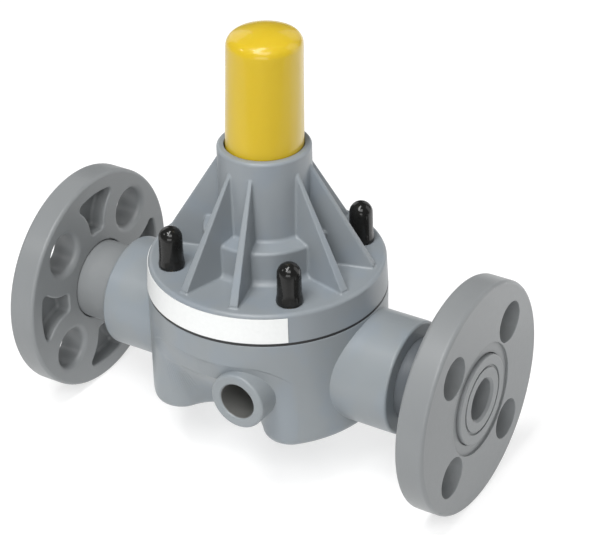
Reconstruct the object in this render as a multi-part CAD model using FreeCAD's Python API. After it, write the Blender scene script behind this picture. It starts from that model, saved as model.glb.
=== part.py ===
# Diaphragm safety relief valve in grey plastic, in line between two flanges for half-inch pipe.
# Millimetres. The origin is the centre of the inlet face, +X runs with the flow and +Z up the bonnet.
import FreeCAD
import Part
import math
import os

Vector = FreeCAD.Vector
along_pipe = Vector(1, 0, 0)
across_pipe = Vector(0, 1, 0)
upright = Vector(0, 0, 1)

# Overall layout: the length between the two sealing faces, with the bonnet's axis midway
face_to_face = 181.2
axis_x = face_to_face / 2

# Clearances: a running fit, a loose fit, a seated fit, and the play round a turning ring
running = 0.05
loose = 0.3
seated = 0.02
play = 0.3

# Edge breaks on turned and moulded pieces, the share of a wall that a round may take, and how far
# a cut runs past the face it opens
edge_break = 0.8
fine_break = 0.5
wall_share = 0.85
overshoot = 1.0

# Places closer together than this are one place, and directions with a dot product above this agree
same_place = 0.01
same_way = 0.99

# Hexagons keep this share of their half width flat at each end, and are turned off at this angle
hexagon_flat_share = 0.96
hexagon_trim_angle = 30.0

# Loose flange rings to the class 150 half-inch pattern
ring_od = 88.9
ring_thickness = 11.1
ring_setback = 0.6
bolt_circle = 60.325
bolt_hole = 15.9
bolt_count = 4
hole_mouth_round = 2.4
ring_rim_round = 1.4
face_recess_od = 43.0
face_recess_depth = 0.8
pocket_depth = 6.5
pocket_inner_radius = 21.2
pocket_rim_width = 6.65
pocket_boss_radius = 17.2
pocket_corner_round = 2.0
pocket_floor_round = 1.5
pocket_mouth_round = 0.8

# Stub ends that the rings turn on, and the pipe nipples cemented into them
lip_od = 34.4
lip_thickness = 4.0
stub_od = 31.4
pipe_od = 21.34
stub_bore = 15.8
pipe_bore = 13.9
passage_bore = 15.0
mouth_chamfer = 0.9
face_groove_radius = 12.9
face_groove_width = 1.0
face_groove_depth = 0.6
stub_shoulder = 8.0
socket_depth = 20.0
socket_clearance = 0.05
socket_end_gap = 0.2

# Valve body: a drum hollowed on both long sides, which leaves a column under each bonnet bolt
body_radius = 45.0
body_bottom = -22.8
body_top = 22.5
body_top_round = 0.4
body_bottom_round = 3.5
column_radius = 10.6
recess_wall_y = 22.5
recess_corner_radius = 14.0
recess_top = 12.8
recess_cove = 8.0
body_hub_od = 43.4
body_hub_reach = 62.6
hub_end_round = 1.0

# Gauge port on the inlet passage, for quarter-inch taper pipe thread
port_offset = 14.6
port_reach = 45.6
port_boss_radius = 11.0
port_hole_radius = 6.9
port_hole_depth = 13.0
port_mouth_chamfer = 0.6
port_edge_round = 1.0
port_passage_radius = 2.5

# Flow way inside the body
chamber_radius = 27.0
chamber_floor = 12.5
riser_radius = 7.0
riser_overshoot = 5.0
well_offset = 18.5
well_radius = 8.0

# Seat ring and its O-ring
seat_top = 15.2
seat_nose_radius = 9.0
seat_nose_bevel = 1.0
seat_flange_radius = 12.0
seat_flange_thickness = 1.5
seat_thread_radius = 10.2
seat_depth = 4.0
seat_end_gap = 0.1
seat_bore_radius = 6.2
o_ring_section = 0.8
o_ring_slack = 0.1

# Diaphragm, clamped at its rim and dished at its centre
diaphragm_rim = 1.0
diaphragm_centre = 1.4
diaphragm_flat_radius = 21.8
diaphragm_fold_radius = 26.0
diaphragm_fold_shift = 0.5
diaphragm_hole_clearance = 0.2

# Seat disc stack below the diaphragm, and the pressure plate above it
seat_disc_radius = 11.0
seat_disc_thickness = 2.4
seat_disc_stand = 0.5
holder_radius = 14.0
holder_floor = 1.7
plate_radius = 21.5
plate_thickness = 4.4
plate_edge_round = 1.2
spring_pilot_height = 5.0
spring_pilot_round = 1.0
centre_screw_radius = 3.0
centre_screw_head_radius = 5.0
centre_screw_head = 1.6
centre_screw_grip = 3.6
centre_screw_socket = 4.0
centre_screw_socket_depth = 1.1

# Spring, wound from round wire with closed and ground ends
spring_mean_radius = 10.6
spring_wire = 2.8
spring_length = 28.0
spring_turns = 5.5

# Spring button and adjusting screw
button_radius = 12.7
button_thickness = 4.0
button_hub_radius = 8.0
button_hub_height = 3.5
button_socket_depth = 5.0
screw_radius = 6.0
screw_tip_radius = 4.6
screw_tip_length = 9.0
screw_tip_slope = 1.4
screw_head_flats = 18.0
screw_head_height = 8.0
screw_top = 112.0

# Bonnet
bonnet_inset = 0.1
bonnet_draft = 0.6
bonnet_flange = 11.6
bonnet_edge_round = 1.5
step_radius = 23.5
step_top = 48.0
step_slope = 1.6
step_foot_round = 2.5
step_shoulder_round = 1.2
tower_radius = 17.3
tower_foot_round = 1.5
tower_top = 81.2
tower_lip_round = 1.2
spring_chamber_radius = 13.4
spring_chamber_top = 69.0
plate_chamber_radius = 24.0
plate_chamber_height = 9.0
cap_groove_floor = 75.2
cap_groove_outer = 14.75
cap_spigot_radius = 12.6
cap_spigot_top = 82.2

# Bonnet ribs, webs in pairs either side of each axis, drawn thinner towards the top of the mould
rib_pairs = 4
rib_half_angle = 15.0
rib_foot_thickness = 3.4
rib_tip_thickness = 1.5
rib_top = 75.5
rib_tip_inset = 0.4
rib_foot_inset = 4.0
rib_foot_height = 1.2
rib_edge_round = 0.5
rib_root_round = 1.0
rib_root = 1.0

# Threaded insert in the crown of the bonnet, and the lock nut on it
insert_radius = 9.0
insert_flange_radius = 11.0
insert_flange = 2.5
insert_stand = 0.3
lock_nut_flats = 18.0
lock_nut_height = 6.5

# Bonnet bolts, up through the body columns into inserts in the bonnet flange
bolt_inset = 9.0
bonnet_bolt_radius = 3.0
bonnet_bolt_end = 46.0
bolt_head_flats = 10.0
bolt_head_height = 4.0
bolt_washer_radius = 5.9
bolt_washer_thickness = 1.2
counterbore_radius = 6.3
counterbore_depth = 7.4
bolt_insert_radius = 4.7
bolt_insert_length = 10.0

# Soft caps over the adjusting screw and over the bolt ends
cap_radius = 14.4
cap_taper = 0.6
cap_wall = 1.5
cap_shoulder = 118.0
cap_shoulder_round = 6.0
cap_crown_turn = 30.0
cap_seat_gap = 0.3
bolt_cap_radius = 4.45
bolt_cap_flare = 0.1
bolt_cap_flare_height = 4.0
bolt_cap_wall = 1.15
bolt_cap_top = 51.5
bolt_cap_gap = 0.1

# Blank label on the bonnet's rim
label_start = 19.5
label_span = 112.0
label_thickness = 0.25
label_margin = 0.3
label_gap = 0.03

# Sizes and heights that follow from those above
pocket_outer_radius = ring_od / 2 - pocket_rim_width
bonnet_radius = body_radius - bonnet_inset
bonnet_bottom = body_top + diaphragm_rim
bonnet_top = bonnet_bottom + bonnet_flange
hub_end = axis_x - body_hub_reach
bolt_radius = body_radius - bolt_inset
holder_bottom = seat_top + seat_disc_thickness
diaphragm_underside = holder_bottom + holder_floor
plate_bottom = diaphragm_underside + diaphragm_centre
plate_top = plate_bottom + plate_thickness
spring_pilot_radius = spring_mean_radius - spring_wire / 2 - loose
button_bottom = plate_top + spring_length
button_top = button_bottom + button_thickness + button_hub_height
bolt_angles = [45 + 90 * step for step in range(4)]


def cylinder(radius, low, high, x=axis_x, y=0.0):
    # An upright cylinder between two heights
    return Part.makeCylinder(radius, high - low, Vector(x, y, low), upright)


def bar(radius, start, end, y=0.0, z=0.0):
    # A cylinder along the pipe axis between two places
    return Part.makeCylinder(radius, end - start, Vector(start, y, z), along_pipe)


def side_bar(radius, start, end, x):
    # A level cylinder across the pipe axis between two places
    return Part.makeCylinder(radius, end - start, Vector(x, start, 0), across_pipe)


def corner_arc(before, corner, after, radius):
    # The start, middle and end of the arc that rounds a corner between two straight runs
    first = (before - corner).normalize()
    last = (after - corner).normalize()
    half_angle = first.getAngle(last) / 2
    inset = radius / math.tan(half_angle)
    middle = corner + (first + last).normalize() * (radius / math.sin(half_angle) - radius)
    return corner + first * inset, middle, corner + last * inset


def straight(start, end):
    # A straight run as a list of one edge, or of none where the two places are one
    if start.distanceToPoint(end) < same_place / 100:
        return []
    return [Part.LineSegment(start, end).toShape()]


def outline(start, steps, place):
    # A closed face. Each step is a corner, a corner with the radius that rounds it, or the middle
    # and the end of an arc, and place turns two numbers into a point.
    path = steps + [start]
    ends = [place(*(step[1] if isinstance(step[0], tuple) else step[:2])) for step in [start] + path]
    edges = []
    here = ends[0]
    for index, step in enumerate(path, 1):
        if isinstance(step[0], tuple):
            edges.append(Part.Arc(here, place(*step[0]), ends[index]).toShape())
            here = ends[index]
        elif len(step) == 3:
            begin, middle, end = corner_arc(ends[index - 1], ends[index], ends[index + 1], step[2])
            edges += straight(here, begin)
            edges.append(Part.Arc(begin, middle, end).toShape())
            here = end
        else:
            edges += straight(here, ends[index])
            here = ends[index]
    return Part.Face(Part.Wire(edges))


def turned(start, steps, x=axis_x, y=0.0, angle=360.0):
    # A body of revolution about an upright axis, from radius and height
    face = outline(start, steps, lambda radius, height: Vector(x + radius, y, height))
    return face.revolve(Vector(x, y, 0), upright, angle)


def turned_along(start, steps):
    # A body of revolution about the pipe axis, from place along it and radius
    face = outline(start, steps, lambda place, radius: Vector(place, 0, radius))
    return face.revolve(Vector(0, 0, 0), along_pipe, 360)


def hexagon(flats, low, high, x=axis_x, y=0.0):
    # An upright hexagonal prism, measured across its flats
    corner = flats / math.sqrt(3)
    turns = [math.radians(60 * step) for step in range(7)]
    points = [Vector(x + corner * math.cos(turn), y + corner * math.sin(turn), low) for turn in turns]
    return Part.Face(Part.makePolygon(points)).extrude(Vector(0, 0, high - low))


def trimmed_hexagon(flats, low, high, x=axis_x, y=0.0):
    # A hexagonal head or nut, with its corners turned off at both ends
    flat_radius = flats / 2 * hexagon_flat_share
    clear_radius = flats / math.sqrt(3) + seated
    rise = (clear_radius - flat_radius) * math.tan(math.radians(hexagon_trim_angle))
    blank = turned((0, low), [(flat_radius, low), (clear_radius, low + rise), (clear_radius, high - rise),
                              (flat_radius, high), (0, high)], x, y)
    return hexagon(flats, low, high, x, y).common(blank)


def spun(shape, angle):
    # A copy turned about the bonnet's axis
    copy = shape.copy()
    copy.rotate(Vector(axis_x, 0, 0), upright, angle)
    return copy


def outlet_side(shape):
    # The same piece on the outlet side
    return shape.mirror(Vector(axis_x, 0, 0), along_pipe)


def rounded(shape, radius, wanted):
    # Rounds the edges that the test picks
    return shape.makeFillet(radius, [edge for edge in shape.Edges if wanted(edge)])


def is_level(edge, direction, place):
    # True for an edge that lies wholly in the plane across one axis at this place
    parameters = [edge.FirstParameter, (edge.FirstParameter + edge.LastParameter) / 2, edge.LastParameter]
    return all(abs(edge.valueAt(value).dot(direction) - place) < same_place for value in parameters)


def distance_from_axis(edge):
    # How far an edge's middle lies from the bonnet's axis
    middle = edge.valueAt((edge.FirstParameter + edge.LastParameter) / 2)
    return math.hypot(middle.x - axis_x, middle.y)


def bolt_places():
    # The four bolt centres on the bonnet
    turns = [math.radians(angle) for angle in bolt_angles]
    return [(axis_x + bolt_radius * math.cos(turn), bolt_radius * math.sin(turn)) for turn in turns]


def ring_bolt_places():
    # The bolt centres on a flange ring, across its axis
    turns = [math.radians(360 / bolt_count * (step + 0.5)) for step in range(bolt_count)]
    return [(bolt_circle / 2 * math.cos(turn), bolt_circle / 2 * math.sin(turn)) for turn in turns]


def make_pockets(floor, back):
    # The hollows in a ring's back: an annulus less the bolt bosses, with rounded corners and floors
    pockets = bar(pocket_outer_radius, floor, back + overshoot)
    pockets = pockets.cut(bar(pocket_inner_radius, floor - overshoot, back + 2 * overshoot))
    for y, z in ring_bolt_places():
        pockets = pockets.cut(bar(pocket_boss_radius, floor - overshoot, back + 2 * overshoot, y, z))
    finished = []
    for pocket in pockets.Solids:
        pocket = rounded(pocket, pocket_corner_round, lambda edge: isinstance(edge.Curve, Part.Line))
        finished.append(rounded(pocket, pocket_floor_round, lambda edge: is_level(edge, along_pipe, floor)))
    return finished


def make_flange_ring():
    # The loose ring: lip seat in front, and four pockets between the bolt bosses at the back
    front = ring_setback
    back = ring_setback + ring_thickness
    bore = stub_od / 2 + play
    lip_seat = lip_od / 2 + play
    lip_seat_floor = lip_thickness + loose
    recess = front + face_recess_depth
    rim = ring_od / 2
    ring = turned_along(
        (lip_seat_floor, bore),
        [(lip_seat_floor, lip_seat), (recess, lip_seat), (recess, face_recess_od / 2),
         (front, face_recess_od / 2), (front, rim, ring_rim_round), (back, rim, ring_rim_round),
         (back, bore, fine_break)])
    ring = ring.cut(make_pockets(back - pocket_depth, back))
    hole = bolt_hole / 2
    ring = ring.cut([bar(hole, front - overshoot, back + overshoot, y, z) for y, z in ring_bolt_places()])
    hole_wall = rim - ring_rim_round - bolt_circle / 2 - hole
    ring = rounded(ring, min(hole_mouth_round, hole_wall * wall_share),
                   lambda edge: is_level(edge, along_pipe, back) and edge.isClosed()
                   and abs(edge.Curve.Radius - hole) < same_place)
    return rounded(ring, pocket_mouth_round,
                   lambda edge: is_level(edge, along_pipe, back) and not edge.isClosed())


def make_stub():
    # The stub end: sealing lip with its face groove, plain hub, and the socket for the nipple
    bore = stub_bore / 2
    hub = stub_od / 2
    socket = pipe_od / 2 + socket_clearance
    groove_inner = face_groove_radius - face_groove_width / 2
    groove_outer = face_groove_radius + face_groove_width / 2
    return turned_along(
        (0, bore + mouth_chamfer),
        [(0, groove_inner), (face_groove_depth, groove_inner), (face_groove_depth, groove_outer),
         (0, groove_outer), (0, lip_od / 2, fine_break), (lip_thickness, lip_od / 2), (lip_thickness, hub),
         (hub_end, hub), (hub_end, socket), (stub_shoulder, socket), (stub_shoulder, bore),
         (mouth_chamfer, bore)])


def make_nipple():
    # The length of pipe cemented into the stub and into the body
    start = stub_shoulder + socket_end_gap
    end = hub_end + socket_depth - socket_end_gap
    return bar(pipe_od / 2, start, end).cut(bar(pipe_bore / 2, start - overshoot, end + overshoot))


def make_hollow(sign):
    # The space on one long side of the body, between its columns: a flat wall that runs out round
    # each column in tangent arcs, under a coved ceiling
    column = [(body_radius - column_radius) / math.sqrt(2)] * 2
    corner_y = recess_wall_y + recess_corner_radius
    span = column_radius + recess_corner_radius
    corner = [column[0] - math.sqrt(span ** 2 - (corner_y - column[1]) ** 2), corner_y]
    lean = math.atan2(column[1] - corner[1], column[0] - corner[0])

    def on_arc(centre, radius, turn):
        return (centre[0] + radius * math.cos(turn), centre[1] + radius * math.sin(turn))

    tangent = on_arc(column, column_radius, math.pi / 4)
    chain = [
        (corner[0], recess_wall_y),
        on_arc(corner, recess_corner_radius, (lean - math.pi / 2) / 2),
        on_arc(corner, recess_corner_radius, lean),
        on_arc(column, column_radius, (lean + math.pi * 5 / 4) / 2),
        tangent,
    ]
    other = [(-x, y) for x, y in chain]
    outside = 2 * body_radius
    low = body_bottom - overshoot
    face = outline(
        chain[0],
        [(chain[1], chain[2]), (chain[3], chain[4]), (outside, outside), (-outside, outside), other[4],
         (other[3], other[2]), (other[1], other[0])],
        lambda x, y: Vector(axis_x + x, sign * y, low))
    hollow = face.extrude(Vector(0, 0, recess_top - low))
    return rounded(hollow, recess_cove, lambda edge: is_level(edge, upright, recess_top)
                   and distance_from_axis(edge) < body_radius - same_place)


def make_valve_body():
    # The moulded body: hollowed drum, two hubs and the gauge boss, and the flow way cut through it
    drum = turned((0, body_bottom), [(body_radius, body_bottom), (body_radius, body_top, body_top_round),
                                     (0, body_top)])
    block = drum.cut([make_hollow(1), make_hollow(-1)])
    block = rounded(block, body_bottom_round, lambda edge: is_level(edge, upright, body_bottom))
    hub_radius = body_hub_od / 2
    other_hub_end = face_to_face - hub_end
    hub = turned_along((hub_end, 0), [(hub_end, hub_radius, hub_end_round),
                                      (other_hub_end, hub_radius, hub_end_round), (other_hub_end, 0)])
    boss_x = axis_x - port_offset
    boss = side_bar(port_boss_radius, 0, port_reach, boss_x)
    boss = rounded(boss, port_edge_round, lambda edge: is_level(edge, across_pipe, port_reach))
    body = block.fuse([hub, boss]).removeSplitter()
    socket = pipe_od / 2 + socket_clearance
    mouth_end = port_reach + overshoot
    cuts = [
        bar(socket, hub_end - overshoot, hub_end + socket_depth),
        bar(socket, other_hub_end - socket_depth, other_hub_end + overshoot),
        bar(passage_bore / 2, hub_end, axis_x + riser_overshoot),
        bar(passage_bore / 2, axis_x + well_offset, other_hub_end),
        cylinder(riser_radius, 0, chamber_floor),
        cylinder(seat_thread_radius + running, chamber_floor - seat_depth, chamber_floor + overshoot),
        cylinder(well_radius, 0, chamber_floor + overshoot, axis_x + well_offset),
        cylinder(chamber_radius, chamber_floor, body_top + overshoot),
        side_bar(port_hole_radius, port_reach - port_hole_depth, mouth_end, boss_x),
        Part.makeCone(port_hole_radius + port_mouth_chamfer, port_hole_radius, port_mouth_chamfer,
                      Vector(boss_x, port_reach, 0), across_pipe * -1),
        side_bar(port_passage_radius, 0, mouth_end, boss_x),
    ]
    low = body_bottom - overshoot
    for x, y in bolt_places():
        cuts.append(cylinder(bonnet_bolt_radius + loose, low, body_top + overshoot, x, y))
        cuts.append(cylinder(counterbore_radius, low, body_bottom + counterbore_depth, x, y))
    return body.cut(cuts)


def make_seat_ring():
    # The seat: a screwed-in ring with a flange, a raised nose that the seat disc closes, and a groove
    bottom = chamber_floor - seat_depth + seat_end_gap
    flange = chamber_floor + seat_flange_thickness
    middle = chamber_floor - seat_depth / 2
    half = o_ring_section + o_ring_slack
    groove_floor = seat_thread_radius - 2 * o_ring_section
    return turned(
        (seat_bore_radius, bottom),
        [(seat_thread_radius, bottom), (seat_thread_radius, middle - half), (groove_floor, middle - half),
         (groove_floor, middle + half), (seat_thread_radius, middle + half),
         (seat_thread_radius, chamber_floor), (seat_flange_radius, chamber_floor),
         (seat_flange_radius, flange, fine_break),
         (seat_nose_radius, flange), (seat_nose_radius - seat_nose_bevel, seat_top),
         (seat_bore_radius, seat_top)])


def make_seat_o_ring():
    # The O-ring in the seat ring's groove
    middle = chamber_floor - seat_depth / 2
    return Part.makeTorus(seat_thread_radius - o_ring_section, o_ring_section - seated,
                          Vector(axis_x, 0, middle), upright)


def make_diaphragm():
    # The diaphragm: flat clamped rim with bolt holes, a sloping fold, and a flat centre lower down
    low = diaphragm_underside
    high = low + diaphragm_centre
    hole = centre_screw_radius + diaphragm_hole_clearance
    shape = turned(
        (hole, low),
        [(diaphragm_flat_radius + diaphragm_fold_shift, low),
         (diaphragm_fold_radius + diaphragm_fold_shift, body_top), (bonnet_radius, body_top),
         (bonnet_radius, bonnet_bottom), (diaphragm_fold_radius, bonnet_bottom),
         (diaphragm_flat_radius, high), (hole, high)])
    holes = [cylinder(bonnet_bolt_radius + loose, body_top - overshoot, bonnet_bottom + overshoot, x, y)
             for x, y in bolt_places()]
    return shape.cut(holes)


def make_disc_holder():
    # The cup below the diaphragm that carries the seat disc
    wall = seat_disc_radius + running
    rim = seat_top + seat_disc_stand
    return turned(
        (centre_screw_radius + running, holder_bottom),
        [(wall, holder_bottom), (wall, rim), (holder_radius, rim, edge_break),
         (holder_radius, diaphragm_underside), (centre_screw_radius + running, diaphragm_underside)])


def make_seat_disc():
    # The soft disc that closes on the seat's nose
    return turned((centre_screw_radius + running, seat_top),
                  [(seat_disc_radius, seat_top), (seat_disc_radius, holder_bottom),
                   (centre_screw_radius + running, holder_bottom)])


def make_centre_screw():
    # The screw that holds seat disc, holder, diaphragm and plate together
    head_bottom = seat_top - centre_screw_head
    end = plate_bottom + centre_screw_grip
    screw = turned(
        (0, head_bottom),
        [(centre_screw_head_radius, head_bottom, fine_break), (centre_screw_head_radius, seat_top),
         (centre_screw_radius, seat_top), (centre_screw_radius, end, fine_break), (0, end)])
    socket_floor = head_bottom + centre_screw_socket_depth
    return screw.cut(hexagon(centre_screw_socket, head_bottom - overshoot, socket_floor))


def make_pressure_plate():
    # The plate above the diaphragm, with a pilot for the spring
    top = plate_top + spring_pilot_height
    plate = turned(
        (0, plate_bottom),
        [(plate_radius, plate_bottom, plate_edge_round), (plate_radius, plate_top, edge_break),
         (spring_pilot_radius, plate_top), (spring_pilot_radius, top, spring_pilot_round), (0, top)])
    hole_end = plate_bottom + centre_screw_grip + loose
    return plate.cut(cylinder(centre_screw_radius + running, plate_bottom - overshoot, hole_end))


def make_spring():
    # The range spring: wound past both ends, then ground flat at its seats
    low = plate_top
    lead = spring_wire
    pitch = (spring_length - spring_wire) / spring_turns
    helix = Part.makeHelix(pitch, spring_length + 2 * lead, spring_mean_radius)
    helix.translate(Vector(axis_x, 0, low - lead))
    start = Vector(axis_x + spring_mean_radius, 0, low - lead)
    along = Vector(0, 2 * math.pi * spring_mean_radius, pitch)
    section = Part.Wire(Part.makeCircle(spring_wire / 2, start, along))
    coil = Part.Wire(helix.Edges).makePipeShell([section], True, True)
    reach = spring_mean_radius + spring_wire
    keep = Part.makeBox(2 * reach, 2 * reach, spring_length, Vector(axis_x - reach, -reach, low))
    return coil.common(keep)


def make_spring_button():
    # The button that the screw pushes on, with a pilot for the spring and a socket for the screw's tip
    low = button_bottom - spring_pilot_height
    disc_top = button_bottom + button_thickness
    socket = screw_tip_radius + running
    socket_floor = button_top - button_socket_depth
    return turned(
        (0, low),
        [(spring_pilot_radius, low, spring_pilot_round), (spring_pilot_radius, button_bottom),
         (button_radius, button_bottom), (button_radius, disc_top, edge_break),
         (button_hub_radius, disc_top), (button_hub_radius, button_top, fine_break), (socket, button_top),
         (socket, socket_floor), (0, socket_floor)])


def make_adjusting_screw():
    # The set screw: plain tip, thread and hexagon head
    tip = button_top - button_socket_depth
    shoulder = tip + screw_tip_length
    head = screw_top - screw_head_height
    screw = turned(
        (0, tip),
        [(screw_tip_radius, tip, fine_break), (screw_tip_radius, shoulder - screw_tip_slope),
         (screw_radius, shoulder), (screw_radius, head + overshoot), (0, head + overshoot)])
    return screw.fuse(trimmed_hexagon(screw_head_flats, head, screw_top)).removeSplitter()


def make_thread_insert():
    # The flanged bush that takes the screw's thrust under the crown of the bonnet
    low = spring_chamber_top - insert_flange
    top = cap_spigot_top + insert_stand
    return turned(
        (screw_radius + running, low),
        [(insert_flange_radius, low), (insert_flange_radius, spring_chamber_top),
         (insert_radius, spring_chamber_top), (insert_radius, top), (screw_radius + running, top)])


def make_lock_nut():
    # The thin nut that locks the screw against the insert
    low = cap_spigot_top + insert_stand
    high = low + lock_nut_height
    nut = trimmed_hexagon(lock_nut_flats, low, high)
    return nut.cut(cylinder(screw_radius + running, low - overshoot, high + overshoot))


def make_rib():
    # One web: a right triangle that stands on the flange and leans on the tower, thinner towards its top
    inside = spring_chamber_radius + rib_root
    low = bonnet_top - rib_root
    rib_foot_radius = bonnet_radius - rib_foot_inset
    side = outline(
        (inside, low),
        [(rib_foot_radius, low), (rib_foot_radius, bonnet_top + rib_foot_height),
         (tower_radius - rib_tip_inset, rib_top), (inside, rib_top)],
        lambda radius, height: Vector(axis_x + radius, -rib_foot_thickness, height))
    side = side.extrude(Vector(0, 2 * rib_foot_thickness, 0))
    foot = rib_foot_thickness / 2
    tip = rib_tip_thickness / 2
    taper = outline((foot, low), [(tip, rib_top), (-tip, rib_top), (-foot, low)],
                    lambda across, height: Vector(axis_x + inside, across, height))
    rib = side.common(taper.extrude(Vector(rib_foot_radius, 0, 0)))
    foot_height = bonnet_top + rib_foot_height
    slope = Vector(rib_foot_radius - tower_radius, 0, foot_height - rib_top).normalize()
    foot_end = axis_x + rib_foot_radius - same_place
    return rounded(rib, rib_edge_round,
                   lambda edge: abs(edge.tangentAt(edge.FirstParameter).dot(slope)) > same_way
                   or (abs(edge.tangentAt(edge.FirstParameter).z) > same_way
                       and edge.CenterOfMass.x > foot_end))


def is_rib_root(edge, shell):
    # True where a rib's side meets a surface that is turned about the bonnet's axis
    faces = shell.ancestorsOfType(edge, Part.Face)
    flats = [face for face in faces if isinstance(face.Surface, Part.Plane)]
    sides = [face for face in flats if abs(face.normalAt(0, 0).z) < math.sin(math.radians(rib_half_angle))]
    level = [face for face in flats if abs(face.CenterOfMass.z - bonnet_top) < same_place]
    curved = [face for face in faces if face not in flats
              and abs(face.Surface.Axis.z) > same_way and abs(face.Surface.Center.x - axis_x) < same_place]
    return bool(sides) and bool(level or curved)


def make_bonnet():
    # The ribbed bonnet: clamping flange, step, tower and collar, with the spring's chamber inside
    shell = turned(
        (0, bonnet_bottom),
        [(bonnet_radius, bonnet_bottom), (bonnet_radius - bonnet_draft, bonnet_top, bonnet_edge_round),
         (step_radius, bonnet_top, step_foot_round), (step_radius, step_top, step_shoulder_round),
         (tower_radius, step_top + step_slope, tower_foot_round),
         (tower_radius, tower_top, tower_lip_round), (0, tower_top)])
    rib = make_rib()
    ribs = [spun(rib, pair * 360 / rib_pairs + side * rib_half_angle)
            for pair in range(rib_pairs) for side in (-1, 1)]
    shell = shell.fuse(ribs).removeSplitter()
    root_round = min(rib_root_round, step_shoulder_round * wall_share)
    shell = rounded(shell, root_round, lambda edge: is_rib_root(edge, shell))
    shell = shell.fuse(cylinder(cap_spigot_radius, cap_groove_floor, cap_spigot_top)).removeSplitter()
    groove_top = tower_top + overshoot
    groove = cylinder(cap_groove_outer, cap_groove_floor, groove_top)
    cuts = [
        groove.cut(cylinder(cap_spigot_radius, cap_groove_floor - overshoot, groove_top + overshoot)),
        cylinder(plate_chamber_radius, bonnet_bottom - overshoot, bonnet_bottom + plate_chamber_height),
        cylinder(spring_chamber_radius, bonnet_bottom, spring_chamber_top),
        cylinder(insert_radius + seated, spring_chamber_top - overshoot, cap_spigot_top + overshoot),
    ]
    insert_floor = bonnet_top - bolt_insert_length
    high = bonnet_top + overshoot
    for x, y in bolt_places():
        cuts.append(cylinder(bonnet_bolt_radius + loose, bonnet_bottom - overshoot, high, x, y))
        cuts.append(cylinder(bolt_insert_radius + seated, insert_floor, high, x, y))
    return shell.cut(cuts)


def make_bonnet_bolts():
    # The four bolts, heads in the columns and ends standing above the bonnet
    head_top = body_bottom + counterbore_depth - bolt_washer_thickness
    bolts = []
    for x, y in bolt_places():
        head = trimmed_hexagon(bolt_head_flats, head_top - bolt_head_height, head_top, x, y)
        shank = turned(
            (0, head_top),
            [(bonnet_bolt_radius, head_top), (bonnet_bolt_radius, bonnet_bolt_end, edge_break),
             (0, bonnet_bolt_end)], x, y)
        bolts.append(head.fuse(shank).removeSplitter().Solids[0])
    return Part.makeCompound(bolts)


def make_bolt_washers():
    # The washers under the bolt heads
    high = body_bottom + counterbore_depth
    low = high - bolt_washer_thickness
    washers = []
    for x, y in bolt_places():
        disc = cylinder(bolt_washer_radius, low, high, x, y)
        hole = cylinder(bonnet_bolt_radius + loose, low - overshoot, high + overshoot, x, y)
        washers.append(disc.cut(hole).Solids[0])
    return Part.makeCompound(washers)


def make_bolt_inserts():
    # The threaded inserts moulded into the bonnet flange
    low = bonnet_top - bolt_insert_length
    inserts = []
    for x, y in bolt_places():
        bush = cylinder(bolt_insert_radius, low, bonnet_top, x, y)
        hole = cylinder(bonnet_bolt_radius + seated, low - overshoot, bonnet_top + overshoot, x, y)
        inserts.append(bush.cut(hole).Solids[0])
    return Part.makeCompound(inserts)


def make_screw_cap():
    # The tall soft cap: slightly tapered, with a rounded shoulder that runs into a shallow crown
    foot = cap_groove_floor + cap_seat_gap
    head = cap_radius - cap_taper
    turn = math.radians(cap_crown_turn)
    shoulder_x = head - cap_shoulder_round
    crown = shoulder_x / math.sin(turn) + cap_shoulder_round
    centre = cap_shoulder - shoulder_x / math.tan(turn)
    between = (turn + math.pi / 2) / 2

    def on_shoulder(normal, inset):
        # A place on the shoulder's arc, where the surface's normal leans this far from upright
        radius = cap_shoulder_round - inset
        return (shoulder_x + radius * math.sin(normal), cap_shoulder + radius * math.cos(normal))

    def on_crown(normal, inset):
        # A place on the crown's arc
        return ((crown - inset) * math.sin(normal), centre + (crown - inset) * math.cos(normal))

    return turned(
        (cap_radius - cap_wall, foot),
        [(cap_radius, foot), (head, cap_shoulder),
         (on_shoulder(between, 0), on_shoulder(turn, 0)),
         (on_crown(turn / 2, 0), (0, centre + crown)),
         (0, centre + crown - cap_wall),
         (on_crown(turn / 2, cap_wall), on_shoulder(turn, cap_wall)),
         (on_shoulder(between, cap_wall), (head - cap_wall, cap_shoulder))])


def make_bolt_cap(place):
    # One soft cap over a bolt's end, a little flared at its foot
    x, y = place
    foot = bonnet_top + bolt_cap_gap
    centre = bolt_cap_top - bolt_cap_radius
    slant = math.sqrt(0.5)
    inner = bolt_cap_radius - bolt_cap_wall
    return turned(
        (inner, foot),
        [(bolt_cap_radius + bolt_cap_flare, foot), (bolt_cap_radius, foot + bolt_cap_flare_height),
         (bolt_cap_radius, centre),
         ((bolt_cap_radius * slant, centre + bolt_cap_radius * slant), (0, bolt_cap_top)),
         (0, centre + inner), ((inner * slant, centre + inner * slant), (inner, centre))], x, y)


def make_label():
    # A blank strip wrapped round the bonnet's rim
    low = bonnet_bottom + label_margin
    high = bonnet_top - bonnet_edge_round
    slope = bonnet_draft / bonnet_flange
    low_radius = bonnet_radius - slope * (low - bonnet_bottom) + label_gap
    high_radius = bonnet_radius - slope * (high - bonnet_bottom) + label_gap
    strip = turned(
        (low_radius, low),
        [(low_radius + label_thickness, low), (high_radius + label_thickness, high), (high_radius, high)],
        angle=label_span)
    return spun(strip, label_start)


def save(node, shape):
    # Writes one piece, after checking that it is sound
    if not shape.isValid() or not shape.Solids:
        raise ValueError(node + " is not a sound solid")
    shape.exportStep(os.path.join("parts", node + ".step"))


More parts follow.
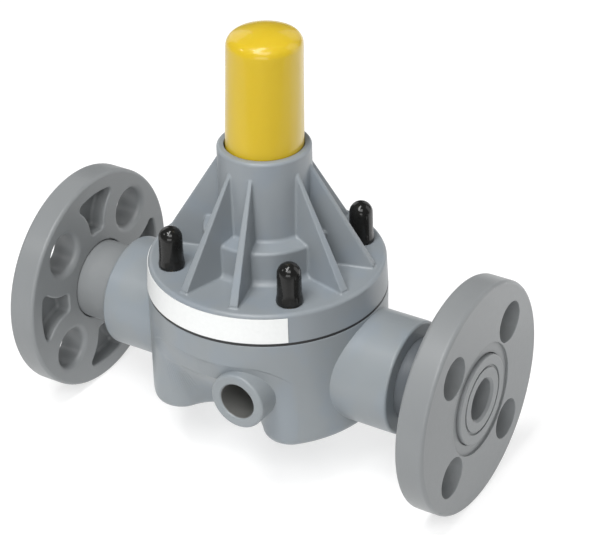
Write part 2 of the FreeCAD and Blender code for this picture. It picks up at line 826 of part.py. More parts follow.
def main():
    os.makedirs("parts", exist_ok=True)
    flange_ring = make_flange_ring()
    stub = make_stub()
    nipple = make_nipple()
    pieces = {
        "inlet_flange_ring": flange_ring,
        "outlet_flange_ring": outlet_side(flange_ring),
        "inlet_stub": stub,
        "outlet_stub": outlet_side(stub),
        "inlet_nipple": nipple,
        "outlet_nipple": outlet_side(nipple),
        "valve_body": make_valve_body(),
        "seat_ring": make_seat_ring(),
        "seat_o_ring": make_seat_o_ring(),
        "seat_disc": make_seat_disc(),
        "disc_holder": make_disc_holder(),
        "centre_screw": make_centre_screw(),
        "diaphragm": make_diaphragm(),
        "pressure_plate": make_pressure_plate(),
        "range_spring": make_spring(),
        "spring_button": make_spring_button(),
        "adjusting_screw": make_adjusting_screw(),
        "thread_insert": make_thread_insert(),
        "lock_nut": make_lock_nut(),
        "bonnet": make_bonnet(),
        "bonnet_bolts": make_bonnet_bolts(),
        "bolt_washers": make_bolt_washers(),
        "bolt_inserts": make_bolt_inserts(),
        "screw_cap": make_screw_cap(),
        "label": make_label(),
    }
    for number, place in enumerate(bolt_places(), 1):
        pieces["bolt_cap_" + str(number)] = make_bolt_cap(place)
    for node, shape in pieces.items():
        save(node, shape)


main()
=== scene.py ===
# A diaphragm relief valve in grey plastic, in line between two loose flange rings, as it is put together.
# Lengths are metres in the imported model's own frame: the inlet face at x = 0, the flow along +X, +Z up.
import math

import bpy
from mathutils import Matrix, Vector, noise


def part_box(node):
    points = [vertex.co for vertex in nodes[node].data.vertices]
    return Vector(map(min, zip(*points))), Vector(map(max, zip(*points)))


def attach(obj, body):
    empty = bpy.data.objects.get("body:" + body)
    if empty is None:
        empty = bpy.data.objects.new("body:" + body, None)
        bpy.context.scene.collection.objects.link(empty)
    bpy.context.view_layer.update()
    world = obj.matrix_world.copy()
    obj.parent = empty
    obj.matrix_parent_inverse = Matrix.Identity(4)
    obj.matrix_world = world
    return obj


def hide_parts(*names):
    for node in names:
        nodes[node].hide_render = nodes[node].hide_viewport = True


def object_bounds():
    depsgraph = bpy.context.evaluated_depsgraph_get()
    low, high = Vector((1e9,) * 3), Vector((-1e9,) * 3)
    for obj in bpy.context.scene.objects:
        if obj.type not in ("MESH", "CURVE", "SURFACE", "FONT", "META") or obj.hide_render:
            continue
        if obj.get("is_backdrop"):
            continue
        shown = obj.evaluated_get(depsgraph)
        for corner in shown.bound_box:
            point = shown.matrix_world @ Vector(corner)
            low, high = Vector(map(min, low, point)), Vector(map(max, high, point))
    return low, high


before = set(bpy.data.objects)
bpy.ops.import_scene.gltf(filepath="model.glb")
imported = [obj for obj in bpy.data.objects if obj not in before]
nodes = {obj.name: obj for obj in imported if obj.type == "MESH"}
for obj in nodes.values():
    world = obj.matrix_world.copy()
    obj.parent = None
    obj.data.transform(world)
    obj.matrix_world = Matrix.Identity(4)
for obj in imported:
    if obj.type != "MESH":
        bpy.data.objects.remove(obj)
cad_low, cad_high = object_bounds()
millimetre = 0.001

# The valve body, one block of grey PVC moulded in a steel tool and bored for the pipe.
# Its skin is satin, faintly clouded where the plastic flowed, with a fine moulded grain and rubbed edges.
# The inside of its gauge port's hole is painted darker, a painted shade.
body_grey = (0.226, 0.247, 0.260)
cloud_dark = 0.94
cloud_light = 1.06
cool_tint = (0.95, 0.99, 1.05)
cool_from = 0.45
cool_to = 0.65
cool_share = 0.6
plastic_ior = 1.53
plastic_specular = 0.32
moulded_roughness = 0.26
cloud_roughness = 0.10
fine_roughness = 0.08
grain_depth = 0.016 * millimetre
grain_share = 0.6
corner_round = 0.4 * millimetre
bevel_samples = 6
open_face = 0.995
sharp_corner = 0.86
rubbed_width = 0.6 * millimetre
rubbed_patches = 4.0 * millimetre
rubbed_from = 0.35
rubbed_to = 0.6
rubbed_share = 0.5
rubbed_light = 1.3
port_place = 76.0 * millimetre
port_radius = 7.0 * millimetre
# The painted shade inside the gauge port's hole: its colour, where it starts and is full, and how strong it
# is
port_shade_colour = (0.094, 0.091, 0.083)
port_shade_start = 20.0 * millimetre
port_shade_full = 22.0 * millimetre
port_shade_outer_radius = 7.2 * millimetre
port_shade_full_radius = 6.9 * millimetre
port_shade_share = 0.85


class Socket:
    # One output of a shader node, which plain arithmetic turns into more nodes

    def __init__(self, finish, output):
        self.finish = finish
        self.output = output

    def worked_out(self, operation, first, second):
        return self.finish.node("ShaderNodeMath", {"operation": operation}, {0: first, 1: second})

    def __add__(self, other):
        return self.worked_out("ADD", self, other)

    def __radd__(self, other):
        return self.worked_out("ADD", other, self)

    def __sub__(self, other):
        return self.worked_out("SUBTRACT", self, other)

    def __rsub__(self, other):
        return self.worked_out("SUBTRACT", other, self)

    def __mul__(self, other):
        return self.worked_out("MULTIPLY", self, other)

    def __rmul__(self, other):
        return self.worked_out("MULTIPLY", other, self)

    def __pow__(self, other):
        return self.worked_out("POWER", self, other)


def found(sockets, key):
    # One of a node's sockets, by its number, or by its name or identifier
    if isinstance(key, int):
        return sockets[key]
    return next(entry for entry in sockets if key in (entry.identifier, entry.name))


class Finish:
    # One material, built round a Principled shader

    def __init__(self, name, **constants):
        self.material = bpy.data.materials.new(name)
        self.material.use_nodes = True
        self.nodes = self.material.node_tree.nodes
        self.links = self.material.node_tree.links
        self.shader = self.nodes["Principled BSDF"]
        for socket, value in constants.items():
            self.shader.inputs[socket.replace("_", " ")].default_value = value

    def node(self, kind, settings, inputs, output=0):
        # Adds a node, sets it up, then gives each of the given sockets its value or link
        made = self.nodes.new(kind)
        for setting, value in settings.items():
            setattr(made, setting, value)
        for key, value in inputs.items():
            target = found(made.inputs, key)
            if isinstance(value, Socket):
                self.links.new(value.output, target)
            else:
                target.default_value = value
        return Socket(self, found(made.outputs, output))

    def place(self):
        # The place on the piece at rest, in metres
        return self.node("ShaderNodeTexCoord", {}, {}, "Object")

    def axis(self, letter):
        # One of the X, Y and Z of that place
        return self.node("ShaderNodeSeparateXYZ", {}, {0: self.place()}, letter)

    def spots(self, size, detail=2.0, stretch=(1, 1, 1)):
        # Cloudy noise from 0 to 1 whose patches are about this many metres across
        stretched = self.node("ShaderNodeMapping", {}, {"Vector": self.place(), "Scale": stretch})
        return self.node("ShaderNodeTexNoise", {}, {"Vector": stretched, "Scale": 1 / size, "Detail": detail})

    def between(self, value, low, high):
        # How far a value is from low to high, kept from 0 to 1
        return self.node("ShaderNodeMapRange", {"interpolation_type": "SMOOTHSTEP"},
                         {"Value": value, "From Min": low, "From Max": high})

    def mixed(self, share, first, second):
        # A blend of two colours, each of them a plain one or a node's
        first, second = ((*colour, 1) if isinstance(colour, tuple) else colour for colour in (first, second))
        return self.node("ShaderNodeMix", {"data_type": "RGBA"},
                         {"Factor_Float": share, "A_Color": first, "B_Color": second}, "Result_Color")

    def rounded(self, width):
        # The direction of the surface, as if its corners were rounded by this many metres
        return self.node("ShaderNodeBevel", {"samples": bevel_samples}, {"Radius": width})

    def edges(self, width):
        # 1 along sharp corners and 0 on open faces
        flat = self.node("ShaderNodeNewGeometry", {}, {}, "Normal")
        alike = self.node("ShaderNodeVectorMath", {"operation": "DOT_PRODUCT"},
                          {0: self.rounded(width), 1: flat}, "Value")
        return self.between(alike, open_face, sharp_corner)

    def set(self, **links):
        # Feeds the shader's own sockets
        for socket, value in links.items():
            self.links.new(value.output, self.shader.inputs[socket.replace("_", " ")])

    def relief(self, height, depth, edge_radius=None):
        # Turns a height from 0 to 1 into surface relief this many metres deep, over softly rounded corners
        inputs = {"Height": height, "Strength": 1.0, "Distance": depth}
        if edge_radius:
            inputs["Normal"] = self.rounded(edge_radius)
        self.set(Normal=self.node("ShaderNodeBump", {}, inputs))


def scaled(colour, share):
    # The same hue, lighter or darker
    return tuple(part * share for part in colour)


def rubbed(finish, shade, colour):
    # The shade, made lighter here and there along sharp corners
    patches = finish.between(finish.spots(rubbed_patches), rubbed_from, rubbed_to)
    worn = finish.edges(rubbed_width) * patches
    return finish.mixed(worn * rubbed_share, shade, scaled(colour, rubbed_light))


def from_axis(across, up):
    # The distance from a line, from the two distances square to it
    return (across * across + up * up) ** 0.5


def inside_port(finish):
    # How much painted shade darkens the gauge port's hole, which is none outside it
    radius = from_axis(finish.axis("X") - port_place, finish.axis("Z"))
    inside = finish.between(radius, port_shade_outer_radius, port_shade_full_radius)
    return inside * finish.between(finish.axis("Y"), port_shade_start, port_shade_full) * port_shade_share


def moulded_finish(name, colour, painted_shade=None):
    # Grey plastic as it leaves the mould, with painted shade where the given function says so
    finish = Finish(name, IOR=plastic_ior, Specular_IOR_Level=plastic_specular)
    clouded = finish.spots(22 * millimetre, detail=3)
    tinted = finish.spots(13 * millimetre, stretch=(1, 1, 0.7))
    fine = finish.spots(2.4 * millimetre, detail=3)
    grain = finish.spots(0.55 * millimetre)
    cool = tuple(part * share for part, share in zip(colour, cool_tint))
    shade = finish.mixed(clouded, scaled(colour, cloud_dark), scaled(colour, cloud_light))
    shade = finish.mixed(finish.between(tinted, cool_from, cool_to) * cool_share, shade, cool)
    shade = rubbed(finish, shade, colour)
    # Painted shade, darker where the given function asks for it
    if painted_shade:
        shade = finish.mixed(painted_shade(finish), shade, port_shade_colour)
    finish.set(Base_Color=shade,
               Roughness=moulded_roughness + clouded * cloud_roughness + fine * fine_roughness)
    finish.relief(grain * grain_share + fine * (1 - grain_share), grain_depth, edge_radius=corner_round)
    return finish


def cover(node, finish):
    # Gives a carried-over piece its finish
    nodes[node].data.materials.clear()
    nodes[node].data.materials.append(finish.material)


# The body, with painted shade inside its gauge port
cover("valve_body", moulded_finish("moulded grey plastic, body", body_grey, inside_port))

# The body's front wall between its columns, moulded in one with it, leans out and fades into the drum above.
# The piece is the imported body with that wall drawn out, so it replaces the plain one.
# The bolt holes, the gauge port and all that lies outside the drum stay where they are.
middle_x = 90.6 * millimetre
drum_radius = 45.0 * millimetre
drum_skin = 0.05 * millimetre
column_place = 24.32 * millimetre
column_hole = 6.8 * millimetre
port_clear = 0.4 * millimetre
wall_place = 22.4 * millimetre
wall_reach = drum_radius * 0.7071
wall_foot = -19.3 * millimetre
wall_bend = 4.8 * millimetre
wall_top = 12.85 * millimetre
drawn_at_bend = 0.90
drawn_at_top = 0.985
soft_corner = 0.75
hair = 0.001 * millimetre


def drawn_wall(place):
    # Where a place on the recess's wall goes, or the same place anywhere else
    across = place.x - middle_x
    if not wall_foot < place.z < wall_top or place.y < wall_place or abs(across) > wall_reach:
        return place
    drum = math.sqrt(drum_radius ** 2 - across ** 2)
    in_column = math.hypot(abs(across) - column_place, place.y - column_place) < column_hole
    in_port = math.hypot(place.x - port_place, place.z) < port_radius + port_clear
    if place.y > drum - drum_skin or in_column or in_port:
        return place
    lower = min(1, (place.z - wall_foot) / (wall_bend - wall_foot))
    upper = max(0, (place.z - wall_bend) / (wall_top - wall_bend))
    share = drawn_at_bend * lower + (drawn_at_top - drawn_at_bend) * upper
    return Vector((place.x, place.y + (drum - place.y) * share, place.z))


def redrawn(name, node, moved):
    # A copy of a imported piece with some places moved, and new normals only where they moved
    mesh = nodes[node].data.copy()
    mesh.name = name
    normals = [Vector(corner.vector) for corner in mesh.corner_normals]
    changed = set()
    for vertex in mesh.vertices:
        target = moved(vertex.co.copy())
        if (target - vertex.co).length > hair:
            changed.add(vertex.index)
            vertex.co = target
    around = {index: [] for index in changed}
    outwards = {}
    for face in mesh.polygons:
        if any(index in changed for index in face.vertices):
            first, second, third = (mesh.vertices[index].co for index in face.vertices[:3])
            outwards[face.index] = (second - first).cross(third - first)
            for index in face.vertices:
                if index in changed:
                    around[index].append(face.index)
    for face in mesh.polygons:
        if face.index not in outwards:
            continue
        own = outwards[face.index].normalized()
        for corner in face.loop_indices:
            index = mesh.loops[corner].vertex_index
            if index in changed:
                near = [outwards[other] for other in around[index]
                        if outwards[other].normalized().dot(own) > soft_corner]
                normals[corner] = sum(near, Vector()).normalized()
    mesh.normals_split_custom_set(normals)
    piece = bpy.data.objects.new(name, mesh)
    bpy.context.scene.collection.objects.link(piece)
    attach(piece, "housing")
    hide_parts(node)


redrawn("moulded_valve_body", "valve_body", drawn_wall)

# The stub ends and nipples, cut and faced on a lathe from grey PVC bar and pipe, then joined with cement.
# Their skin keeps the fine rings of the tool, and the inlet stub's neck, between its hub and the flange ring,
# is painted darker, a painted shade.
turned_grey = (0.204, 0.214, 0.219)
turned_dark = 0.95
turned_light = 1.05
turned_roughness = 0.28
turned_cloud_roughness = 0.10
turned_fine_roughness = 0.10
tool_rings = 0.8 * millimetre
tool_ring_depth = 0.02 * millimetre
ring_wander = 0.2 * millimetre
ring_share = 0.25
turned_fine_share = 0.5
# The painted shade on the inlet stub's neck between hub and flange ring: its colour, strength, and where it
# starts and is full
neck_shade_colour = (0.075, 0.086, 0.098)
neck_shade_share = 0.8
neck_shade_start = 12.5 * millimetre
neck_shade_full = 12.9 * millimetre
neck_radius = 15.8 * millimetre
neck_clear = 16.4 * millimetre


def turned_finish(name, colour, ring_spacing, ring_depth, neck_shaded=False):
    # Plastic with tool rings about the pipe's axis, and painted shade darkening its neck if asked for
    finish = Finish(name, IOR=plastic_ior, Specular_IOR_Level=plastic_specular)
    along = finish.axis("X")
    radius = from_axis(finish.axis("Y"), finish.axis("Z"))
    wander = finish.spots(6 * millimetre, detail=1)
    rings = finish.node("ShaderNodeMath", {"operation": "SINE"},
                        {0: (radius + along + wander * ring_wander) * (2 * math.pi / ring_spacing)})
    clouded = finish.spots(18 * millimetre, detail=3)
    fine = finish.spots(2 * millimetre, detail=3)
    shade = finish.mixed(clouded, scaled(colour, turned_dark), scaled(colour, turned_light))
    shade = rubbed(finish, shade, colour)
    # Painted shade darkens the neck, where shade falls between the hub and the flange ring
    if neck_shaded:
        neck = finish.between(radius, neck_clear, neck_radius)
        neck = neck * finish.between(along, neck_shade_start, neck_shade_full)
        shade = finish.mixed(neck * neck_shade_share, shade, neck_shade_colour)
    finish.set(Base_Color=shade,
               Roughness=turned_roughness + clouded * turned_cloud_roughness + fine * turned_fine_roughness)
    finish.relief(rings * ring_share + fine * turned_fine_share, ring_depth, edge_radius=corner_round)
    return finish


turned = turned_finish("turned grey plastic", turned_grey, tool_rings, tool_ring_depth)
for node in ("outlet_stub", "inlet_nipple", "outlet_nipple"):
    cover(node, turned)
# The inlet stub, with painted shade on its neck
turned_with_neck_shade = turned_finish("turned grey plastic, painted neck shade", turned_grey, tool_rings, tool_ring_depth,
                                    neck_shaded=True)
cover("inlet_stub", turned_with_neck_shade)

# The loose flange rings, grey plastic moulded with pockets between the bolt bosses and faced flat in front.
# They turn on the stubs until their bolts are in.
facing_rings = 1.2 * millimetre
facing_ring_depth = 0.012 * millimetre
ring_plastic = turned_finish("faced grey plastic", turned_grey, facing_rings, facing_ring_depth)
for node in ("inlet_flange_ring", "outlet_flange_ring"):
    cover(node, ring_plastic)

# The seat ring and the disc holder, machined from natural white plastic.
# The ring is screwed into the body, and the holder hangs under the diaphragm.
natural_white = (0.62, 0.61, 0.58)
fine_rings = 0.6 * millimetre
fine_ring_depth = 0.01 * millimetre
natural = turned_finish("machined natural plastic", natural_white, fine_rings, fine_ring_depth)
for node in ("seat_ring", "disc_holder"):
    cover(node, natural)

# The black rubber pieces, moulded and matt with a grey bloom: the seat disc, its O-ring, and the diaphragm,
# which is clamped between bonnet and body, so that its rim shows as a dark line.
rubber_black = (0.010, 0.010, 0.011)
rubber_bloom = (0.022, 0.022, 0.023)
rubber_roughness = 0.5
bloom_roughness = 0.2
rubber_depth = 0.02 * millimetre
rubber = Finish("black rubber", IOR=1.5)
bloom = rubber.spots(5 * millimetre, detail=3)
rubber.set(Base_Color=rubber.mixed(bloom, rubber_black, rubber_bloom),
           Roughness=rubber_roughness + bloom * bloom_roughness)
rubber.relief(rubber.spots(0.4 * millimetre), rubber_depth)
for node in ("diaphragm", "seat_disc", "seat_o_ring"):
    cover(node, rubber)

# The steel pieces, plates, spring, button, screws, nut, bolts and washers, drawn or turned and left bright.
# The adjusting screw's thread is rolled below its plain head.
steel_dull = (0.50, 0.50, 0.49)
steel_bright = (0.62, 0.62, 0.61)
metal_roughness = 0.24
drawn_roughness = 0.16
drawing_depth = 0.01 * millimetre
thread_pitch = 1.75 * millimetre
thread_depth = 0.8 * millimetre
thread_radius = 6.1 * millimetre
thread_edge = 0.2 * millimetre
thread_run_out = 0.4 * millimetre
drawn_on_thread = 0.01
screw_head_height = 8.0 * millimetre
thread_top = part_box("adjusting_screw")[1].z - screw_head_height


def steel_finish(name, threaded=False):
    # Steel with drawing marks, and the ridges of a thread if it has one
    finish = Finish(name, Metallic=1.0)
    haze = finish.spots(3 * millimetre, detail=3)
    drawn = finish.spots(0.6 * millimetre, stretch=(1, 1, 0.15))
    finish.set(Base_Color=finish.mixed(haze, steel_dull, steel_bright),
               Roughness=metal_roughness + drawn * drawn_roughness)
    if not threaded:
        finish.relief(drawn, drawing_depth)
        return finish
    along = finish.axis("X") - middle_x
    across = finish.axis("Y")
    up = finish.axis("Z")
    turn = finish.node("ShaderNodeMath", {"operation": "ARCTAN2"}, {0: across, 1: along})
    ridge = finish.node("ShaderNodeMath", {"operation": "SINE"},
                        {0: up * (2 * math.pi / thread_pitch) - turn})
    side = finish.between(from_axis(along, across), thread_radius + thread_edge, thread_radius)
    shank = finish.between(up, thread_top, thread_top - thread_run_out)
    finish.relief((ridge * 0.5 + 0.5) * (side * shank) + drawn * drawn_on_thread, thread_depth)
    return finish


steel = steel_finish("bright steel")
for node in ("range_spring", "centre_screw", "lock_nut", "bonnet_bolts", "bolt_washers", "pressure_plate",
             "spring_button"):
    cover(node, steel)
cover("adjusting_screw", steel_finish("bright steel, threaded", threaded=True))

# The threaded inserts for the adjusting screw and the bonnet's bolts.
# They are turned from brass and moulded into the plastic.
brass_dull = (0.62, 0.42, 0.16)
brass_bright = (0.76, 0.56, 0.27)
tarnish_roughness = 0.16
brass = Finish("turned brass", Metallic=1.0)
tarnish = brass.spots(4 * millimetre, detail=3)
brass.set(Base_Color=brass.mixed(tarnish, brass_dull, brass_bright),
          Roughness=metal_roughness + tarnish * tarnish_roughness)
brass.relief(brass.spots(0.5 * millimetre, stretch=(1, 1, 0.2)), drawing_depth)
for node in ("thread_insert", "bolt_inserts"):
    cover(node, brass)

# The ribbed bonnet, moulded from a slightly bluer batch of the same PVC as the body.
# Four bolts clamp it down on the diaphragm.
bonnet_grey = (0.224, 0.246, 0.263)
cover("bonnet", moulded_finish("moulded grey plastic, bonnet", bonnet_grey))

# The blank label, a strip of white vinyl film.
# It is stuck round the bonnet's rim.
film_dull = (0.68, 0.69, 0.685)
film_bright = (0.74, 0.75, 0.745)
film_roughness = 0.40
fibre_roughness = 0.14
film_depth = 0.03 * millimetre
film_edge = 0.1 * millimetre
film = Finish("white label film", IOR=1.46)
fibre = film.spots(1.5 * millimetre, detail=4)
film.set(Base_Color=film.mixed(fibre, film_dull, film_bright),
         Roughness=film_roughness + fibre * fibre_roughness)
film.relief(film.spots(3 * millimetre), film_depth, edge_radius=film_edge)
cover("label", film)

# The tall cap over the adjusting screw, dipped in yellow vinyl, so its wall is soft, glossy and wavy.
# It is open at its foot, stands in the groove round the bonnet's top and leans slightly to one side.
cap_wall = 1.5 * millimetre
cap_taper = 0.6 * millimetre
cap_shoulder = 4.8 * millimetre
cap_crown_degrees = 24
cap_rise = 0.2 * millimetre
cap_foot_round = 0.5 * millimetre
cap_lean = 0.026
cap_leans_toward = Vector((-0.852, -0.523, 0))
cap_wave = 0.11 * millimetre
cap_wave_size = 9 * millimetre
cap_wave_stretch = 0.4
cap_steady_foot = 10 * millimetre
cap_segments = 96
yellow_deep = (0.515, 0.360, 0.016)
yellow_thin = (0.565, 0.400, 0.022)
vinyl_roughness = 0.24
flow_roughness = 0.14
vinyl_depth = 0.05 * millimetre


def arc(centre, radius, start, end, steps):
    # Places on an arc in a profile's plane, between two angles in degrees from outward
    turns = [math.radians(start + (end - start) * step / steps) for step in range(steps + 1)]
    return [(centre[0] + radius * math.cos(turn), centre[1] + radius * math.sin(turn)) for turn in turns]


def line(start, end, steps):
    # Places along a straight run, without its last one
    return [(start[0] + (end[0] - start[0]) * step / steps, start[1] + (end[1] - start[1]) * step / steps)
            for step in range(steps)]


def outward(place):
    # The level direction away from a cap's middle line, or none on the line itself
    return Vector((place.x, place.y, 0)).normalized() if place.xy.length > hair else Vector()


def revolved(name, profile, centre, segments, shifted):
    # A round skin: a closed profile of radius and height turned about an upright line, each place shifted
    places = []
    rows = []
    for radius, height in profile:
        row = []
        for step in range(segments if radius > hair else 1):
            turn = 2 * math.pi * step / segments
            place = Vector((radius * math.cos(turn), radius * math.sin(turn), height))
            row.append(len(places))
            places.append(centre + shifted(place))
        rows.append(row)
    faces = []
    for lower, upper in zip(rows, rows[1:] + rows[:1]):
        for step in range(segments):
            after = (step + 1) % segments
            corners = [lower[step % len(lower)], lower[after % len(lower)],
                       upper[after % len(upper)], upper[step % len(upper)]]
            face = list(dict.fromkeys(corners))
            if len(face) > 2:
                faces.append(face)
    mesh = bpy.data.meshes.new(name)
    mesh.from_pydata(places, [], faces)
    mesh.shade_smooth()
    piece = bpy.data.objects.new(name, mesh)
    bpy.context.scene.collection.objects.link(piece)
    return piece


def cap_profile(foot_radius, head_radius, height, wall):
    # The tall cap's section: up the outside, over the shoulder and crown, and down the inside
    turn = math.radians(cap_crown_degrees)
    shoulder_x = head_radius - cap_shoulder
    crown = shoulder_x / math.sin(turn) + cap_shoulder
    crown_rise = crown - shoulder_x / math.tan(turn)
    shoulder_z = height - crown_rise
    centre_z = height - crown
    inner_foot = foot_radius - wall
    outside = arc((foot_radius - cap_foot_round, cap_foot_round), cap_foot_round, -90, 0, steps=4)
    outside += line((foot_radius, cap_foot_round * 2), (head_radius, shoulder_z), steps=30)
    outside += arc((shoulder_x, shoulder_z), cap_shoulder, 0, 90 - cap_crown_degrees, steps=10)
    outside += arc((0, centre_z), crown, 90 - cap_crown_degrees, 90, steps=8)[1:-1]
    inside = arc((0, centre_z), crown - wall, 90, 90 - cap_crown_degrees, steps=8)[1:]
    inside += arc((shoulder_x, shoulder_z), cap_shoulder - wall, 90 - cap_crown_degrees, 0, steps=6)[1:]
    inside += line((head_radius - wall, shoulder_z - wall), (inner_foot, cap_foot_round), steps=12)
    return outside + [(0, height), (0, height - wall)] + inside + [(inner_foot, 0)]


def sway_cap(place):
    # Leans the tall cap and gives its wall slow waves
    wave = noise.noise(Vector((place.x, place.y, place.z * cap_wave_stretch)) / cap_wave_size) * cap_wave
    rise = min(place.z / cap_steady_foot, 1)
    return place + outward(place) * wave * rise + cap_leans_toward * cap_lean * place.z


cap_low, cap_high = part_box("screw_cap")
cap_foot = Vector(((cap_low.x + cap_high.x) / 2, (cap_low.y + cap_high.y) / 2, cap_low.z))
cap_radius = (cap_high.x - cap_low.x) / 2
cap_height = cap_high.z - cap_low.z + cap_rise
tall_cap = revolved("yellow_vinyl_cap", cap_profile(cap_radius, cap_radius - cap_taper, cap_height, cap_wall),
                    cap_foot, cap_segments, sway_cap)
vinyl = Finish("yellow dipped vinyl", IOR=1.5, Specular_IOR_Level=0.2, Subsurface_Weight=0.12,
               Subsurface_Radius=(1.0, 0.6, 0.1), Subsurface_Scale=1.5 * millimetre, Coat_Weight=0.35,
               Coat_Roughness=0.04)
flow = vinyl.spots(12 * millimetre, stretch=(1, 1, 0.3))
vinyl.set(Base_Color=vinyl.mixed(flow, yellow_deep, yellow_thin),
          Roughness=vinyl_roughness + flow * flow_roughness)
vinyl.relief(vinyl.spots(5 * millimetre), vinyl_depth)
tall_cap.data.materials.append(vinyl.material)
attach(tall_cap, "tall_cap")
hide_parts("screw_cap")

# The four small caps pushed over the bolt ends, dipped in glossy black vinyl.
# Each has a flared foot, nicked on one side.
bolt_cap_wall = 1.15 * millimetre
bolt_cap_flare = 1.08
bolt_cap_neck = 0.97
bolt_cap_foot_round = 0.35 * millimetre
bolt_cap_flare_start = 1.2 * millimetre
bolt_cap_flare_end = 3.6 * millimetre
bolt_cap_nick = 0.38 * millimetre
bolt_cap_nick_turn = math.atan2(0.848, -0.53)
bolt_cap_nick_width = 0.20
bolt_cap_nick_rise = 3.2 * millimetre
bolt_cap_bulge = 0.15 * millimetre
bolt_cap_bulge_turn = 0.5
bolt_cap_bulge_width = 0.3
bolt_cap_segments = 56
vinyl_black = (0.008, 0.008, 0.008)
vinyl_worn = (0.014, 0.014, 0.013)
black_roughness = 0.20
skin_roughness = 0.14
skin_depth = 0.01 * millimetre
black_vinyl = Finish("black dipped vinyl", IOR=1.5, Specular_IOR_Level=0.06, Coat_Weight=0.5,
                     Coat_Roughness=0.05)
skin = black_vinyl.spots(3 * millimetre)
black_vinyl.set(Base_Color=black_vinyl.mixed(skin, vinyl_black, vinyl_worn),
                Roughness=black_roughness + skin * skin_roughness)
black_vinyl.relief(skin, skin_depth)


def bolt_cap_profile(radius, height, wall):
    # A small cap's section: a flared foot, a straight side and a domed top
    foot = bolt_cap_foot_round
    flared = radius * bolt_cap_flare
    dome = radius * bolt_cap_neck
    dome_z = height - radius
    outside = arc((flared - foot, foot), foot, -90, 0, steps=3)
    outside += line((flared, bolt_cap_flare_start), (radius, bolt_cap_flare_end), steps=5)
    outside += line((radius, bolt_cap_flare_end), (dome, dome_z), steps=6)
    outside += arc((0, dome_z), dome, 0, 90, steps=12)[:-1]
    inside = arc((0, dome_z), dome - wall, 90, 0, steps=8)[1:]
    inside += line((radius - wall, dome_z), (radius - wall, 0), steps=5)
    return outside + [(0, dome_z + dome), (0, dome_z + dome - wall)] + inside


def nick_foot(place):
    # Dents the foot where it is nicked, between two small bulges
    turn = math.atan2(place.y, place.x) - bolt_cap_nick_turn
    turn = math.atan2(math.sin(turn), math.cos(turn))
    low = max(0, 1 - place.z / bolt_cap_nick_rise)
    dent = bolt_cap_nick * low * math.exp(-(turn / bolt_cap_nick_width) ** 2)
    beside = (abs(turn) - bolt_cap_bulge_turn) / bolt_cap_bulge_width
    bulge = bolt_cap_bulge * low * math.exp(-beside ** 2)
    return place + outward(place) * (bulge - dent)


for number in range(1, 5):
    node = "bolt_cap_%d" % number
    low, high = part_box(node)
    small_cap = revolved("black_vinyl_cap_%d" % number,
                         bolt_cap_profile((high.x - low.x) / 2, high.z - low.z, bolt_cap_wall),
                         Vector(((low.x + high.x) / 2, (low.y + high.y) / 2, low.z)),
                         bolt_cap_segments, nick_foot)
    small_cap.data.materials.append(black_vinyl.material)
    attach(small_cap, node)
    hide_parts(node)

# The studio: white paper under the flanges, and soft boxes round the valve, the strongest a long strip above.
# The paper is painted darker in front of the valve, a painted shade which keeps the black and yellow of the
# caps deep.
# It glows more on the right, a painted light which gives the yellow cap its lighter side.
floor_half = 3.0
paper_dull = (0.40, 0.40, 0.40)
paper_bright = (0.44, 0.44, 0.44)
paper_shaded = (0.20, 0.20, 0.20)
light_even = (1.0, 1.0, 1.0)
painted_glow_right = (2.1, 2.1, 2.1)
light_shaded = (0.22, 0.22, 0.22)
# Where the paper's painted shade and its painted glow on the right begin and are full, in metres from the
# valve's middle
shade_start = 0.16
shade_full = 0.24
right_start = -0.16
right_full = -0.18
right_front_end = 0.08
right_front_full = 0.04
aim_height = 20 * millimetre
middle = Vector(((cad_low.x + cad_high.x) / 2, 0, aim_height))
to_left = Vector((0.85245, 0.52253, 0))
to_viewer = Vector((-0.53, 0.848, 0))
upward = Vector((0, 0, 1))
soft_box_distance = 1.3
# Each box's side of the valve, its width and height in metres, and its power in watts
soft_boxes = {
    "long strip box": (to_viewer * 0.352 + to_left * 0.203 + upward * 0.9135, 0.30, 1.2, 14.2),
    "front box": (to_viewer + upward, 0.7, 0.5, 6.4),
    "high left box": (to_viewer * 0.257 + to_left * 0.386 + upward * 0.884, 0.26, 0.12, 2.6),
    "low left front box": (to_viewer * 0.128 + to_left * 0.803 + upward * 0.582, 0.16, 0.13, 1.1),
    "right panel": (upward * 0.45 - to_left - to_viewer * 0.15, 0.8, 1.2, 4.6),
    "left back panel": (upward * 0.5 + to_left * 0.6 - to_viewer, 0.7, 0.9, 2.4),
    "right back panel": (upward * 0.5 - to_left * 0.6 - to_viewer, 0.7, 0.9, 1.6),
    "low front box": (to_viewer + to_left * 0.15 + upward * 0.12, 0.9, 0.4, 4.2),
}
paper = Finish("white paper", Roughness=0.9, Emission_Strength=0.64)


def from_middle(direction):
    # How far a place on the paper lies from the valve's middle, along a level direction
    along = paper.node("ShaderNodeVectorMath", {"operation": "DOT_PRODUCT"},
                       {0: paper.place(), 1: tuple(direction)}, "Value")
    return along - middle.dot(direction)


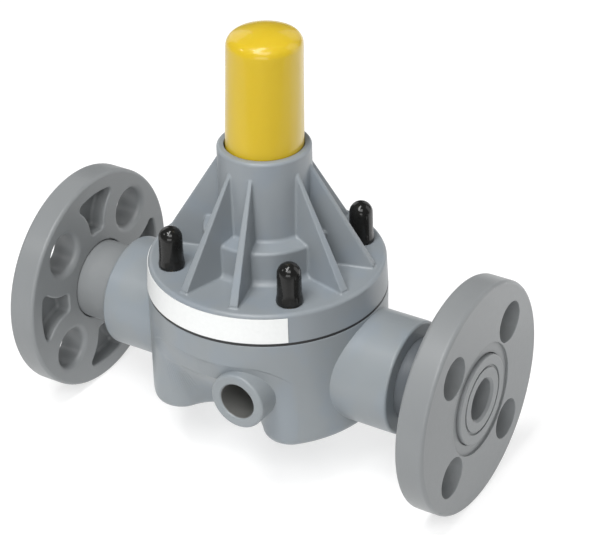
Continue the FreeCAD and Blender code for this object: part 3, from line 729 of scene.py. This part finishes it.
forward = from_middle(to_viewer)
# Painted shade: the paper is darker and glows less in front of the valve
in_shade = paper.between(forward, shade_start, shade_full)
# Painted light: the paper glows more on its right side
on_right = paper.between(from_middle(to_left), right_start, right_full)
on_right = on_right * paper.between(forward, right_front_end, right_front_full)
white = paper.mixed(paper.spots(4 * millimetre), paper_dull, paper_bright)
light = paper.mixed(on_right, light_even, painted_glow_right)
paper.set(Base_Color=paper.mixed(in_shade, white, paper_shaded),
          Emission_Color=paper.mixed(in_shade, light, light_shaded))
floor_mesh = bpy.data.meshes.new("floor")
floor_corners = [(-floor_half, -floor_half), (floor_half, -floor_half), (floor_half, floor_half),
                 (-floor_half, floor_half)]
floor_mesh.from_pydata([(x, y, cad_low.z) for x, y in floor_corners], [], [(0, 1, 2, 3)])
floor_mesh.materials.append(paper.material)
floor = bpy.data.objects.new("floor", floor_mesh)
bpy.context.scene.collection.objects.link(floor)
floor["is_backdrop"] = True

for name, (side, width, height, power) in soft_boxes.items():
    box_light = bpy.data.lights.new(name, "AREA")
    box_light.shape = "RECTANGLE"
    box_light.size = width
    box_light.size_y = height
    box_light.energy = power
    lamp = bpy.data.objects.new(name, box_light)
    direction = side.normalized()
    lamp.location = middle + direction * soft_box_distance
    lamp.rotation_euler = direction.to_track_quat("Z", "Y").to_euler()
    bpy.context.scene.collection.objects.link(lamp)

room_white = (1, 1, 1, 1)
room_strength = 0.06
world = bpy.data.worlds.new("studio")
world.use_nodes = True
world.node_tree.nodes["Background"].inputs["Color"].default_value = room_white
world.node_tree.nodes["Background"].inputs["Strength"].default_value = room_strength
bpy.context.scene.world = world
bpy.context.scene.view_settings.view_transform = "Standard"

# The camera, a long lens that looks down at the valve from the photograph's angle.
# It is tipped a little to the right, as the flanges' lean in the photograph shows.
camera_place = Vector((-0.27306, 0.55731, 0.42799))
camera_right = Vector((-0.85245, -0.52253, -0.01700))
camera_up = Vector((0.25678, -0.44679, 0.85700))
camera_data = bpy.data.cameras.new("camera")
camera_data.lens = 124.88
camera_data.sensor_width = 36.0
camera = bpy.data.objects.new("camera", camera_data)
turn = Matrix((camera_right, camera_up, camera_right.cross(camera_up))).transposed()
camera.matrix_world = Matrix.Translation(camera_place) @ turn.to_4x4()
bpy.context.scene.collection.objects.link(camera)
bpy.context.scene.camera = camera

low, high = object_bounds()
